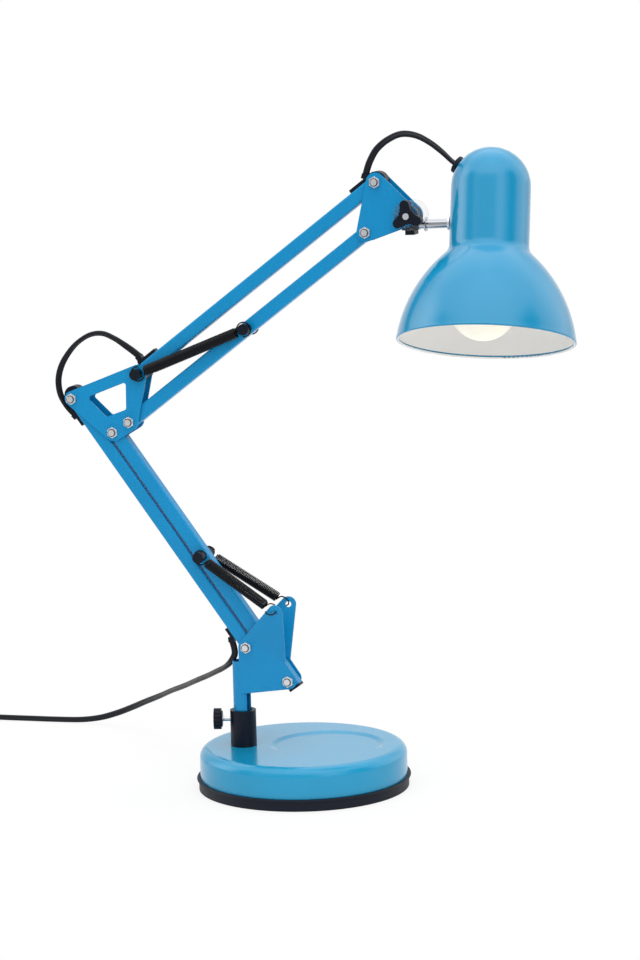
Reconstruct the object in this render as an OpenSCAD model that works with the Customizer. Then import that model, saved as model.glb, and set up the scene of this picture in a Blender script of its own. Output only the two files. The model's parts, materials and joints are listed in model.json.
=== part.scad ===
// Spring-balanced desk lamp: weighted round base, swivel post, two parallel-link arms and a bell shade.
// Millimetres, Z up. The origin is the centre of the base underside and the arms move parallel to XZ.

/* [Base] */
// Outer radius of the pressed base shell
base_r = 84; // [78:0.5:95]
// Height of the base above the table
base_h = 34; // [30:0.5:42]
// Radius that rounds the top edge of the base
base_round = 8; // [4:0.5:11]
// Thickness of the base sheet
base_t = 1; // [0.6:0.1:1.6]
// Height of the black foot around the base
foot_h = 9.5; // [7:0.5:12]
// Thickness of the foot wall outside the shell
foot_wall = 1.2; // [0.8:0.1:2]
// How far the lip of the foot stands proud of its wall
foot_lip = 1.6; // [0.8:0.1:2.5]
// Height of that lip
foot_lip_h = 1.8; // [1:0.1:3]
// Thickness of the foot floor
foot_floor = 2; // [1.5:0.1:3]
// Radius of the weight inside the base
weight_r = 72; // [60:1:75]
// Height of the weight inside the base
weight_h = 20; // [8:0.5:22]
// Radius of the round dish pressed into the top
dish_r = 46; // [36:0.5:50]
// Depth of the dish
dish_depth = 1.4; // [0.6:0.1:2]
// Width of the sloping wall of the dish
dish_slope = 4.5; // [2:0.5:7]
// Distance of the dish from the base centre, away from the post
dish_offset = 19.5; // [15:0.5:24]
// Distance of the post from the base centre
post_offset = 48.2; // [44:0.2:54]
// Turn of the base about its centre, seen from above
base_turn = 14; // [-30:1:30]

/* [Collar and thumbscrew] */
// Outer diameter of the collar
collar_d = 21; // [19:0.5:26]
// Height of the collar above the base
collar_h = 29.5; // [24:0.5:36]
// Thickness of the collar floor under the post
collar_floor = 6; // [4:0.5:8]
// Diameter of the screw that holds the collar down
collar_screw_d = 5; // [4:0.5:6]
// Diameter of the thumbscrew stud
stud_d = 4; // [3:0.5:5]
// Depth of the stud below the collar top
stud_drop = 7.5; // [5:0.5:9]
// Diameter of the thumbscrew knob
thumb_d = 17; // [13:0.5:20]
// Thickness of the thumbscrew knob
thumb_t = 6; // [4:0.5:9]
// Gap between the collar and the knob
thumb_gap = 6.2; // [4:0.2:9]

/* [Post and bracket] */
// Diameter of the rolled post
post_d = 15; // [14:0.1:16]
// Thickness of the bracket and link plates
sheet_t = 1.2; // [0.8:0.1:1.5]
// Width of the slot down the front of the post
post_slot = 10.5; // [3:0.5:11.5]
// First pivot, ahead of the post axis
pivot_ahead = 7; // [5:0.2:9]
// First pivot, above the base top
pivot_rise = 82.5; // [76:0.5:90]
// Top of the rolled post, below the first pivot
post_top_drop = 12.5; // [11:0.5:16]
// Radius of the bracket around the first pivot
bracket_front_r = 7; // [6:0.2:8]
// Radius of the bracket around the second pivot
bracket_rear_r = 6.5; // [6:0.2:8]
// Inner corner of the bracket, behind the second pivot
corner_back = 3.3; // [2:0.1:5]
// Inner corner of the bracket, above the second pivot
corner_rise = 14.6; // [12:0.2:17]
// Slope of the bracket's bottom edge, as its fall towards the post
plate_foot_drop = 4.6; // [2:0.2:7]
// Length of the spring tabs beyond the bend
tab_len = 36.3; // [30:0.5:42]
// Distance of the spring hole back from the bracket corner, along the bend
tab_back = 25.2; // [22:0.2:28]
// Outward bend of the spring tabs
tab_bend = 17.5; // [8:0.5:24]
// Radius of the spring tab ends
tab_r = 6.3; // [5:0.1:7]
// Radius of the spring holes
tab_hole_r = 2.4; // [2.2:0.1:3]

/* [Arms] */
// Outside size of the square arm tube
bar_w = 10.8; // [9.5:0.1:11.5]
// Wall of the arm tube
bar_t = 0.8; // [0.6:0.1:1.2]
// Rounding of the tube corners
bar_round = 1.6; // [1.2:0.1:2.5]
// Distance between the pivots of a lower arm bar
lower_len = 245; // [210:1:290]
// Lean of the lower arm from the forward direction
lower_angle = 125.5; // [100:0.5:125.5]
// Distance between the two lower arm pivots
lower_link = 43.6; // [43:0.2:52]
// Slope of the line through them
lower_link_angle = -37.7; // [-38:0.1:-30]
// Distance between the pivots of an upper arm bar
upper_len = 251.5; // [215:0.5:290]
// Rise of the upper arm from the forward direction
upper_angle = 37.2; // [10:0.2:45]
// Distance between the two upper arm pivots
upper_link = 40; // [38:0.5:48]
// Slope of the line through them
upper_link_angle = -102.3; // [-110:0.1:-96]
// Distance that a plain bar runs past its pivots
bar_past = 4; // [3.5:0.1:4.4]
// Extra length of the lower plain bar below its bottom pivot
bar_past_low = 2; // [0:0.1:3]
// Thickness of the black end stop of a plain bar
end_stop = 2; // [1:0.1:2.2]

/* [Cord guides] */
// Radius of the black eye at the foot of a cord bar
eye_r = 6.8; // [6:0.1:7]
// Radius of the eye at the top of the lower bar
elbow_eye_r = 7.4; // [7:0.1:7.8]
// Distance of that eye past the pivot, along the bar
elbow_eye_past = 2.1; // [0:0.1:2.5]
// Distance of that eye from the pivot, towards the other bar
elbow_eye_in = 1.8; // [0:0.1:2.5]
// Radius of the eye at the tip of the upper bar
head_eye_r = 8.2; // [6.8:0.1:8.2]
// Start of the tube of a cord bar, from the pivot
tube_start = 6; // [5.8:0.1:10]
// Height of the guide tongue above the tube
tongue_h = 2.6; // [2.2:0.1:5.5]
// Width of the guide tongue
tongue_w = 7.4; // [6.4:0.1:9]
// End of the guide tongue, from the pivot
tongue_end = 22; // [20:0.5:30]
// Length of the nozzle that the cord leaves by
nozzle_len = 4; // [3.5:0.1:5]
// Distance of the nozzle from the pivot on the lower bar
lower_nozzle_x = 14; // [12:0.5:16]
// Outward turn of the nozzle at the foot of the lower bar
foot_nozzle_turn = 30; // [20:1:40]
// Outward turn of the nozzle at the top of the lower bar
elbow_nozzle_turn = 9; // [5:1:20]
// Distance of the nozzle from the pivot on the upper bar
upper_nozzle_x = 7; // [6:0.5:10]
// Outward turn of the nozzle at the tip of the upper bar
head_nozzle_turn = 36; // [25:1:50]

/* [Link plates] */
// Forward distance from the first elbow pivot to the upper arm pivot
elbow_ahead = 57.1; // [54:0.5:64]
// Rise between the same two pivots
elbow_rise = 20.9; // [18:0.5:26]
// Radius of the elbow plate around its rear pivot
elbow_rear_r = 6.2; // [6:0.1:7.5]
// Radius of the elbow plate around its other pivots
elbow_r = 7.4; // [6.5:0.1:8.5]
// Corner radius of the elbow window
window_r = 2; // [1:0.1:3]
// Radius of the head plate around its arm pivots
head_r = 7.4; // [6.5:0.1:8.5]
// Radius of the head plate around the tilt bolt
head_tip_r = 7.8; // [7:0.1:9]
// Forward distance from the top head pivot to the tilt bolt
tilt_ahead = 26.4; // [24:0.2:34]
// Drop between the same two points
tilt_drop = 26.2; // [22:0.2:32]

/* [Fasteners and springs] */
// Diameter of the pivot bolts
bolt_d = 5; // [4:0.1:5]
// Width across the flats of the hexagon nuts
nut_af = 8; // [7:0.1:9]
// Height of the hexagon nuts
nut_h = 4; // [3:0.1:5]
// Height of the bolt heads
bolt_head_h = 3.2; // [2.5:0.1:4]
// Diameter of the spring pins
pin_d = 5; // [4:0.1:5]
// Radius of the spool that a spring ring sits on
spool_r = 4.2; // [3.6:0.1:4.2]
// Radius of the black pin caps
cap_r = 4.5; // [4.3:0.1:5.2]
// Thickness of the black pin caps
cap_t = 3.6; // [2.5:0.1:5]
// Distance of the caps from the arm plane
cap_seat = 12; // [11.5:0.1:14]
// Distance of the spring rings from the arm plane
hook_y = 10.3; // [9.8:0.1:10.6]
// Diameter of the spring wire
wire_d = 0.9; // [0.6:0.1:1]
// Outside diameter of the springs
spring_d = 8.6; // [6:0.1:9]
// Curls of each spring
spring_curls = 15; // [8:1:18]
// Radius of the spring rings on the pins, at the centre of the wire
ring_r = 5.8; // [5.2:0.1:6.2]
// Radius of the spring rings in the tabs, at the centre of the wire
tab_ring_r = 4.7; // [4.4:0.1:5.4]

/* [Head] */
// Rise of the stub from the level
head_lean = 1.5; // [-10:0.5:10]
// Drop from the tilt bolt to the axis of the stub
stub_drop = 7.3; // [6.8:0.1:9]
// Distance from the tilt bolt to the axis of the shade
stub_reach = 62.6; // [58:0.2:75]
// Diameter of the stub
stub_d = 7.2; // [6:0.1:8]
// Diameter of the threaded end of the stub
stub_thread_d = 6; // [5:0.1:6]
// Half width of the swivel block
block_half = 6.1; // [6:0.1:7]
// Half width of the foot under the swivel block
block_foot_half = 3.7; // [3.4:0.1:5.5]
// Bottom of the swivel block below the tilt bolt
block_drop = 15; // [14.5:0.1:17]
// Length of each wing of the knob
wing_len = 12.6; // [10:0.2:15]
// Half width of each wing
wing_half = 3.6; // [2.8:0.1:4.2]
// Thickness of the wing knob
wing_t = 7; // [5:0.1:9]
// Radius of the washers under the knob and the bolt head
washer_r = 11.8; // [9:0.1:12.5]
// Thickness of those washers
washer_t = 1.2; // [0.8:0.1:2]

/* [Shade] */
// Sideways roll of the shade about the stub
shade_roll = 17.5; // [-20:0.5:20]
// Radius of the shade neck
neck_r = 30.9; // [30:0.1:33]
// Height from the stub to the base of the dome
neck_up = 28; // [27.5:0.1:36]
// Radius of the shade at its rim
rim_r = 69.3; // [66:0.1:75]
// Depth of the rim below the stub
rim_drop = 93.4; // [88:0.1:97]
// Radius of the bell curve in section
bell_r = 110; // [100:1:125]
// Slope of the bell at the rim
rim_slope = 7.4; // [4:0.1:11]
// Radius between the neck and the bell
flare_r = 10; // [6:0.5:14]
// Thickness of the shade sheet
shade_t = 0.8; // [0.6:0.1:1.2]
// Radius of the rolled rim
rim_bead = 0.9; // [0.6:0.05:1.2]
// Height of the cord grommet around the dome, in degrees
grommet_angle = 34; // [26:1:42]
// Radius of the grommet flange
grommet_r = 7; // [5:0.1:8]
// Largest radius of the bulb
bulb_r = 26.5; // [22:0.5:28]
// Bottom of the bulb below the stub
bulb_drop = 93; // [84:0.5:95]
// Radius of the lamp holder
holder_r = 18.5; // [17:0.1:20]
// Distance of the lamp holder from the shade axis, towards the stub
holder_off = 3.2; // [0:0.1:3.4]

/* [Cord] */
// Width of the flat twin cord
cord_w = 5.4; // [4.4:0.1:6]
// Thickness of the flat twin cord
cord_t = 3.2; // [2.6:0.1:3.8]
// Turns of the stored coil
coil_turns = 7; // [3:1:9]
// Outer radius of the coil at the centre of the cord
coil_r = 38; // [36:0.2:44]

/* [Hidden] */
$fn = 64;

// Colours
paint = [0.10, 0.50, 0.76];
black = [0.07, 0.07, 0.08];
zinc = [0.78, 0.79, 0.80];
iron = [0.35, 0.35, 0.36];
white = [0.96, 0.94, 0.87];
clear = [0.85, 0.88, 0.9];

// Clearances: a pin that turns, a piece that seats, and bodies that pass each other
fit = 0.05;
seat = 0.1;
pass = 0.3;

// Heights and places worked out from the driving sizes
post_r = post_d / 2;
plate_step = 0.1;
plate_out = post_r + plate_step;
plate_in = plate_out - sheet_t;
plate_mid = plate_out - sheet_t / 2;
post_x = -post_offset * cos(base_turn);
post_y = -post_offset * sin(base_turn);
bolt_r = bolt_d / 2;
pin_r = pin_d / 2;
hole_r = bolt_r + fit;

function polar(r, a) = [r * cos(a), r * sin(a)];
function unit(v) = v / norm(v);

// Pivots in the arm plane, as distance ahead of the post axis and height
front_foot = [pivot_ahead, base_h + pivot_rise];
rear_foot = front_foot + polar(lower_link, lower_link_angle);
front_top = front_foot + polar(lower_len, lower_angle);
rear_top = rear_foot + polar(lower_len, lower_angle);
top_root = front_top + [elbow_ahead, elbow_rise];
bottom_root = top_root + polar(upper_link, upper_link_angle);
top_tip = top_root + polar(upper_len, upper_angle);
bottom_tip = bottom_root + polar(upper_len, upper_angle);
tilt = top_tip + [tilt_ahead, -tilt_drop];
lower_pin = rear_foot + polar(lower_len / 2, lower_angle);
upper_pin = bottom_root + polar(upper_len / 2, upper_angle);

// Outward tangent of two round lobes [x, y, radius], met counter-clockwise
function tangent_pair(a, b) =
    let (from = [a.x, a.y], to = [b.x, b.y], along = unit(to - from),
        lead = (a[2] - b[2]) / norm(to - from),
        out = lead * along + sqrt(1 - lead * lead) * [along.y, -along.x])
    [from + a[2] * out, to + b[2] * out];

function lobe(p, r) = [p.x, p.y, r];

// Convex outline round a ring of lobes
module lobed(lobes) {
    last = len(lobes) - 1;
    polygon([for (i = [0 : last]) each tangent_pair(lobes[i], lobes[i == last ? 0 : i + 1])]);
    for (l = lobes) translate([l.x, l.y]) circle(l[2]);
}

module rounded_square(side, r) {
    in = side / 2 - r;
    lobed([[-in, -in, r], [in, -in, r], [in, in, r], [-in, in, r]]);
}

// Frame of the arms: X ahead, Y across, Z up, with the post axis at zero
module arm_frame() {
    translate([post_x, post_y, 0]) children();
}

// Frame of the base, with the post on its own -X side
module base_frame() {
    rotate([0, 0, base_turn]) children();
}

// Slab of a flat outline drawn in the arm plane, centred at y
module slab(y, thick) {
    translate([0, y + thick / 2, 0]) rotate([90, 0, 0]) linear_extrude(thick) children();
}

// Straight pin across the arm plane
module cross_pin(p, r, y0, y1) {
    translate([p.x, y1, p.y]) rotate([90, 0, 0]) cylinder(r = r, h = y1 - y0);
}

module hexagon(p, y0, y1) {
    translate([p.x, y1, p.y]) rotate([90, 30, 0]) cylinder(r = nut_af / 2 / cos(30), h = y1 - y0, $fn = 6);
}

// Frame that starts at a pivot and runs along a bar, with +Z on its outer side
module bar_frame(p, angle) {
    arm_frame() translate([p.x, 0, p.y]) rotate([0, -angle, 0]) children();
}

// Square section swept along a bar
module bar_block(x0, x1) {
    translate([x0, 0, 0]) rotate([90, 0, 90]) linear_extrude(x1 - x0) children();
}

// Swept tubes: one polyhedron along a list of points

function tangents(p) =
    [for (i = [0 : len(p) - 1]) unit(p[min(i + 1, len(p) - 1)] - p[max(i - 1, 0)])];

// Side vector carried along the path without twisting
function carried(t, first) =
    [for (i = 0, n = unit(first - (first * t[0]) * t[0]); i < len(t);
        i = i + 1, n = i < len(t) ? unit(n - (n * t[i]) * t[i]) : n) n];

function tube_points(path, side, thin, wide, sides) =
    let (t = tangents(path), n = carried(t, side))
    [for (i = [0 : len(path) - 1], j = [0 : sides - 1])
        let (a = 360 * (j + 0.5) / sides)
        path[i] + n[i] * thin / 2 * cos(a) + cross(t[i], n[i]) * wide / 2 * sin(a)];

function tube_faces(rings, sides) = concat(
    [for (j = [1 : sides - 2]) [0, j, j + 1]],
    [for (i = [0 : rings - 2], j = [0 : sides - 1])
        let (k = (j + 1) % sides)
        each [[i * sides + j, (i + 1) * sides + j, (i + 1) * sides + k],
            [i * sides + j, (i + 1) * sides + k, i * sides + k]]],
    [for (j = [1 : sides - 2]) let (k = (rings - 1) * sides) [k, k + j + 1, k + j]]);

module tube(path, side, thin, wide, sides) {
    polyhedron(tube_points(path, side, thin, wide, sides), tube_faces(len(path), sides), convexity = 10);
}

// Smooth curve through route points, with a number of steps between each two
function spline_point(p, i, s) =
    let (a = p[max(i - 1, 0)], b = p[i], c = p[i + 1], d = p[min(i + 2, len(p) - 1)])
    0.5 * (2 * b + (c - a) * s + (2 * a - 5 * b + 4 * c - d) * s * s + (3 * b - a - 3 * c + d) * s * s * s);

function spline(p, steps) =
    [for (i = [0 : len(p) - 2], k = [0 : steps - 1]) spline_point(p, i, k / steps), p[len(p) - 1]];

// Cord routes. The loops are given ahead of the post, across and up; the mains lead from the origin.
elbow_route = [[-136.8, 0, 303], [-140.2, 0, 306.5], [-144.4, 0, 311.6], [-148, 0, 319], [-149.2, 0, 329],
    [-147.2, 0, 339], [-142, 0, 349], [-133, 0, 359.5], [-121.5, 0, 366.8], [-109.5, 0, 368.8],
    [-98.5, 0, 366], [-90, 0, 360.8], [-84, 0, 355.9], [-80, 0, 350.9]];
head_route = [[113, 0, 495.2], [114.4, 0, 499.9], [117, 0, 506], [122, 0.2, 514], [130.5, 1, 521],
    [141, 3, 525.3], [152, 6, 523.9], [162, 9.4, 518.3], [170.6, 12.7, 511], [177.85, 14.95, 503.65],
    [181.8, 14.2, 501.25]];
mains_route = [[-54, -11.7, 118.9], [-53.5, -11.7, 114], [-54.6, -11.3, 109.2], [-58, -9.6, 104.2],
    [-62.5, -6, 99.5], [-70, 2, 94], [-79.5, 14, 88], [-93, 33, 79.5], [-109.5, 56, 70], [-129, 83, 59],
    [-150, 110, 48], [-170, 134, 37], [-189, 151, 27.5], [-206, 162.5, 19], [-223, 169.5, 11.5],
    [-240, 172.5, 6], [-258, 173, 3.3], [-280, 172, 2.8], [-305, 171, 2.8], [-335, 170.3, 2.8],
    [-365, 170, 3.3], [-386, 170, 3.8], [-391.7, 170, 3.8]];

// Stored coil: in on the table layer, out again on the layer above
coil_gap = 0.6;
coil_pitch = cord_t + coil_gap;
coil_rise = cord_w + coil_gap;
coil_steps = 24;
coil_start = mains_route[len(mains_route) - 1] - [pass, 0, 0];
coil_centre = coil_start - [0, coil_r, 0];

function eased(s) = s * s * (3 - 2 * s);
// The half turn that climbs lies half a pitch further in than the rest
function coil_radius(turn) =
    let (back = abs(turn - coil_turns / 2)) coil_r
        - coil_pitch * (coil_turns / 2 - back + eased(min(max(1.5 - 2 * back, 0), 1)) / 2);
function climb(turn) =
    coil_rise * eased(min(max((turn - coil_turns / 2) * 2 + 0.5, 0), 1));
function coil_point(turn) =
    let (p = polar(coil_radius(turn), 90 + 360 * turn)) coil_centre + [p.x, p.y, climb(turn)];
coil_end = coil_point(coil_turns);
coil_tail = [[-9, 0, 0], [-18, 0, -0.4], [-27, 0, -0.9], [-34, 0, -0.9]];
coil_path = concat([for (i = [0 : coil_turns * coil_steps]) coil_point(i / coil_steps)],
    [for (t = coil_tail) coil_end + t]);

coil_least_gap = min([for (i = [0 : len(coil_path) - 1 - coil_steps / 2],
        j = [i + coil_steps / 2 : len(coil_path) - 1])
    let (v = coil_path[j] - coil_path[i]) max(norm([v.x, v.y]) - cord_t, abs(v.z) - cord_w)]);
echo(str("least gap between coil loops: ", coil_least_gap, " mm"));

// Springs: a ring at each end and tapering curls between them, as one wire.
// Ring centres are measured from the anchors along the spring: the first on a pin, the second as given.
curl_rings = 8;
ring_arc = 300;
ring_steps = 10;
pin_ring_shift = ring_r - wire_d / 2 - spool_r - pass;
tab_ring_tilt = 32;

function ring_point(z, r, tilt_a, a) =
    [r * sin(a) * cos(tilt_a), r * sin(a) * sin(tilt_a), z - r * cos(a)];

function taper(s) = min(1, s / 0.9, (spring_curls - s) / 0.9);

// Wire of a spring of a given length in its own frame: X in the arm plane, Y across, Z along the spring
function spring_wire(length, shift_b, ring_b, tilt_b) =
    let (z0 = pin_ring_shift + ring_r, z1 = length - shift_b - ring_b, radius = (spring_d - wire_d) / 2)
    concat(
        [for (k = [0 : ring_steps - 1])
            ring_point(pin_ring_shift, ring_r, 0, 180 - ring_arc + k * ring_arc / ring_steps)],
        [for (k = [0 : spring_curls * curl_rings])
            let (s = k / curl_rings, turn = 360 * spring_curls + tilt_b,
                a = 180 + turn * s / spring_curls,
                p = polar(radius * taper(s), a))
            [p.x, p.y, z0 + (z1 - z0) * s / spring_curls]],
        [for (k = [1 : ring_steps])
            let (q = ring_point(shift_b, ring_b, tilt_b, 180 + k * ring_arc / ring_steps))
            [q.x, q.y, length - q.z]]);

// The same wire placed between two anchors of the arm frame
function placed_wire(a, b, shift_b, ring_b, tilt_b) =
    let (ez = unit(b - a), ey = unit([0, 1, 0] - ez.y * ez), ex = cross(ey, ez))
    [for (p = spring_wire(norm(b - a), shift_b, ring_b, tilt_b)) a + p.x * ex + p.y * ey + p.z * ez];

function least_gap(path, skip) =
    min([for (i = [0 : len(path) - 1 - skip], j = [i + skip : len(path) - 1]) norm(path[j] - path[i])])
        - wire_d;

// Bend line of the spring tabs: the bracket edge from its inner corner to the first pivot
edge_round = 1;
corner = lobe(rear_foot + [-corner_back, corner_rise], edge_round);
bend_edge = tangent_pair(corner, lobe(front_foot, bracket_front_r));
bend_angle = atan2(bend_edge[0].y - bend_edge[1].y, bend_edge[0].x - bend_edge[1].x);
bend_up = polar(1, bend_angle + 90);
tab_foot = bend_edge[0] - polar(tab_back, bend_angle);

// Hole of a bent tab in the arm frame; side is -1 on the near plate and 1 on the far plate
function tab_hole(side) =
    let (p = tab_foot + (tab_len * cos(tab_bend) - sheet_t / 2 * sin(tab_bend)) * bend_up)
    [p.x, side * (plate_in + tab_len * sin(tab_bend) + sheet_t / 2 * cos(tab_bend)), p.y];

function lower_wire(side) =
    placed_wire([lower_pin.x, side * hook_y, lower_pin.y], tab_hole(side),
        tab_ring_r, tab_ring_r, side * tab_ring_tilt);
function upper_wire(side) =
    placed_wire([top_root.x, side * hook_y, top_root.y], [upper_pin.x, side * hook_y, upper_pin.y],
        pin_ring_shift, ring_r, 0);
spring_least_gap = min([for (w = [lower_wire(-1), lower_wire(1), upper_wire(-1), upper_wire(1)])
    least_gap(w, curl_rings - 2)]);
echo(str("least gap between spring curls: ", spring_least_gap, " mm"));

// Base

module base_profile(r, top, round) {
    square([r, top - round]);
    square([r - round, top]);
    translate([r - round, top - round]) circle(round);
}

module base_shell() {
    color(paint) base_frame() difference() {
        union() {
            difference() {
                translate([0, 0, foot_floor]) rotate_extrude() intersection() {
                    base_profile(base_r, base_h - foot_floor, base_round);
                    square([base_r, base_h]);
                }
                translate([0, 0, foot_floor - base_t]) rotate_extrude() intersection() {
                    base_profile(base_r - base_t, base_h - foot_floor, base_round - base_t);
                    square([base_r, base_h]);
                }
            }
            translate([dish_offset, 0, base_h - base_t - dish_depth])
                cylinder(r1 = dish_r - dish_slope, r2 = dish_r, h = dish_depth + base_t / 2);
        }
        translate([dish_offset, 0, base_h - dish_depth])
            cylinder(r1 = dish_r - dish_slope, r2 = dish_r, h = dish_depth);
        translate([-post_offset, 0, 0]) cylinder(d = collar_screw_d + 2 * fit, h = 2 * base_h);
    }
}

module base_weight() {
    color(iron) translate([0, 0, foot_floor]) cylinder(r = weight_r, h = weight_h);
}

module rubber_foot() {
    lip_r = base_r + foot_wall + foot_lip - foot_lip_h / 2;
    color(black) difference() {
        rotate_extrude() {
            square([base_r + foot_wall, foot_h]);
            translate([0, foot_h - foot_lip_h]) square([lip_r, foot_lip_h]);
            translate([lip_r, foot_h - foot_lip_h / 2])
                circle(foot_lip_h / 2);
        }
        translate([0, 0, foot_floor]) cylinder(r = base_r + seat, h = foot_h);
    }
}

module collar() {
    stud_z = base_h + collar_h - stud_drop;
    color(black) base_frame() translate([-post_offset, 0, 0]) difference() {
        translate([0, 0, base_h]) cylinder(d = collar_d, h = collar_h);
        translate([0, 0, base_h + collar_floor]) cylinder(r = post_r + fit, h = collar_h);
        cylinder(d = collar_screw_d + 2 * fit, h = base_h + 2 * collar_floor);
        translate([-collar_d, 0, stud_z]) rotate([0, 90, 0]) cylinder(d = stud_d + 2 * fit, h = collar_d);
    }
}

module collar_screw() {
    head_h = 3;
    color(zinc) base_frame() translate([-post_offset, 0, base_h - base_t]) {
        cylinder(d = collar_screw_d, h = base_t + collar_floor);
        translate([0, 0, -head_h]) cylinder(r = collar_screw_d, h = head_h);
    }
}

// Frame on the axis of the thumbscrew, with +Z away from the post
module thumb_frame() {
    base_frame() translate([-post_offset, 0, base_h + collar_h - stud_drop]) rotate([0, -90, 0]) children();
}

thumb_hub_t = 1;

module thumb_stud() {
    color(zinc) thumb_frame() translate([0, 0, post_r + pass])
        cylinder(d = stud_d, h = collar_d / 2 + thumb_gap + thumb_hub_t + thumb_t / 2 - post_r - pass);
}

module thumb_knob() {
    flutes = 14;
    flute_r = 1.1;
    hub_step = 2;
    color(black) thumb_frame() translate([0, 0, collar_d / 2 + thumb_gap]) difference() {
        union() {
            cylinder(r = thumb_d / 2 - hub_step, h = thumb_hub_t + thumb_t / 2);
            translate([0, 0, thumb_hub_t]) cylinder(d = thumb_d, h = thumb_t);
        }
        for (i = [0 : flutes - 1]) rotate([0, 0, 360 * i / flutes])
            translate([thumb_d / 2 + pass, 0, thumb_hub_t / 2])
            cylinder(r = flute_r, h = 2 * thumb_t, $fn = 24);
        translate([0, 0, -1]) cylinder(d = stud_d + 2 * fit, h = 1 + thumb_hub_t + thumb_t / 2);
    }
}

// Bracket: a sheet rolled into the post, whose sides carry the arm and spring tabs

post_foot = base_h + collar_floor + pass;
post_top = front_foot.y - post_top_drop;
plate_foot = lobe([edge_round, rear_foot.y - bracket_rear_r - plate_foot_drop], edge_round);

module bracket_outline() {
    lobed([plate_foot, lobe(rear_foot, bracket_rear_r), corner, lobe(front_foot, bracket_front_r)]);
    lobed([corner, lobe(tab_foot + tab_len * bend_up, tab_r),
        lobe(front_foot, bracket_front_r)]);
}

// Half space above (1) or below (-1) the bend line
module bend_side(side) {
    reach = 200;
    translate([bend_edge[0].x, 0, bend_edge[0].y]) rotate([0, -bend_angle, 0])
        translate([-reach / 2, -reach / 2, side > 0 ? 0 : -reach]) cube(reach);
}

module bracket_plate(side) {
    intersection() {
        slab(side * plate_mid, sheet_t) bracket_outline();
        bend_side(-1);
    }
    translate([bend_edge[0].x, side * plate_in, bend_edge[0].y]) rotate([0, -bend_angle, 0])
        rotate([-side * tab_bend, 0, 0])
        rotate([0, bend_angle, 0]) translate([-bend_edge[0].x, -side * plate_in, -bend_edge[0].y])
        intersection() {
            slab(side * plate_mid, sheet_t) bracket_outline();
            bend_side(1);
        }
}

module bracket() {
    color(paint) arm_frame() difference() {
        union() {
            bracket_plate(-1);
            bracket_plate(1);
            difference() {
                translate([0, 0, post_foot]) cylinder(r = post_r, h = post_top - post_foot);
                translate([0, 0, post_foot - 1]) cylinder(r = post_r - sheet_t, h = post_top);
                translate([0, -post_slot / 2, 0]) cube([post_d, post_slot, post_top + 1]);
                translate([sheet_t, -post_d, plate_foot.y - plate_foot[2]])
                    cube([post_d, 2 * post_d, post_top]);
            }
        }
        for (p = [front_foot, rear_foot]) cross_pin(p, hole_r, -post_d, post_d);
        for (side = [-1, 1]) tab_bore(side);
    }
}

module tab_bore(side) {
    translate(tab_hole(side)) rotate([0, -bend_angle, 0]) rotate([90 - side * tab_bend, 0, 0])
        cylinder(r = tab_hole_r, h = 8 * sheet_t, center = true);
}

// Pivot bolts with their nuts on the near side

bolt_end = 1;
nut_crown = 1;
nut_crown_r = nut_af / 2 - 0.6;

module bolt(p) {
    cross_pin(p, bolt_r, -plate_out - nut_h - bolt_end, plate_out + bolt_head_h / 2);
    hexagon(p, plate_out, plate_out + bolt_head_h);
}

module nut(p) {
    difference() {
        union() {
            hexagon(p, -plate_out - nut_h + nut_crown, -plate_out);
            cross_pin(p, nut_crown_r, -plate_out - nut_h, -plate_out - nut_h / 2);
        }
        cross_pin(p, hole_r, -post_d, 0);
    }
}

module bracket_bolts() {
    color(zinc) arm_frame() for (p = [front_foot, rear_foot]) bolt(p);
}

module bracket_nuts() {
    color(zinc) arm_frame() for (p = [front_foot, rear_foot]) nut(p);
}

// Arm bars

bar_in = bar_w - 2 * bar_t;
tongue_lap = 0.7;
cord_slot_w = tongue_w - 2 * tongue_lap;

// Square tube between two distances from the first pivot
module bar_tube(x0, x1) {
    difference() {
        bar_block(x0, x1) rounded_square(bar_w, bar_round);
        bar_block(x0 - 1, x1 + 1) rounded_square(bar_in, bar_round - bar_t);
    }
}

module plain_bar(length, past_low) {
    difference() {
        bar_tube(-bar_past - past_low, length + bar_past);
        for (x = [0, length]) cross_pin([x, 0], hole_r, -bar_w, bar_w);
        cross_pin([length / 2, 0], pin_r + fit, -bar_w, bar_w);
    }
}

module cord_bar(length) {
    difference() {
        bar_tube(tube_start, length - tube_start);
        for (x = [tube_start - 1, length - tongue_end + 2])
            translate([x, -cord_slot_w / 2 - seat, 0])
            cube([tongue_end - tube_start - 1, cord_slot_w + 2 * seat, bar_w]);
    }
}

// Black plug in the end of a plain bar, with its stop outside the tube
module end_plug(past) {
    depth = 12;
    difference() {
        union() {
            bar_block(-past - end_stop, -past) rounded_square(bar_w, bar_round);
            bar_block(-past - end_stop / 2, depth) rounded_square(bar_in - 2 * seat, bar_round - bar_t);
        }
        cross_pin([0, 0], hole_r, -bar_w, bar_w);
    }
}

module end_plugs(length, past_low) {
    end_plug(bar_past + past_low);
    translate([length, 0, 0]) mirror([1, 0, 0]) end_plug(bar_past);
}

// Black guide in the end of a cord bar: an eye for the pivot, a plug in the tube, and a tongue
// outside it whose nozzle lets the cord out, turned outwards from the bar. The eye is [x, z, radius].
root_eye = [0, 0, eye_r];
elbow_eye = [-elbow_eye_past, -elbow_eye_in, elbow_eye_r];
head_eye = [0, 0, head_eye_r];
guide_depth = tongue_end + nozzle_len;
nozzle_z = 8;
nozzle_half = 2.4;
nozzle_back = 3;
nozzle_w = tongue_w - tongue_lap;

module guide_eye(eye) {
    reach = 2 * eye[2];
    intersection() {
        cross_pin(eye, eye[2], -bar_w / 2, bar_w / 2);
        translate([tube_start - 2 * reach, -bar_w, -reach]) cube([2 * reach, 2 * bar_w, 2 * reach]);
    }
}

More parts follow.
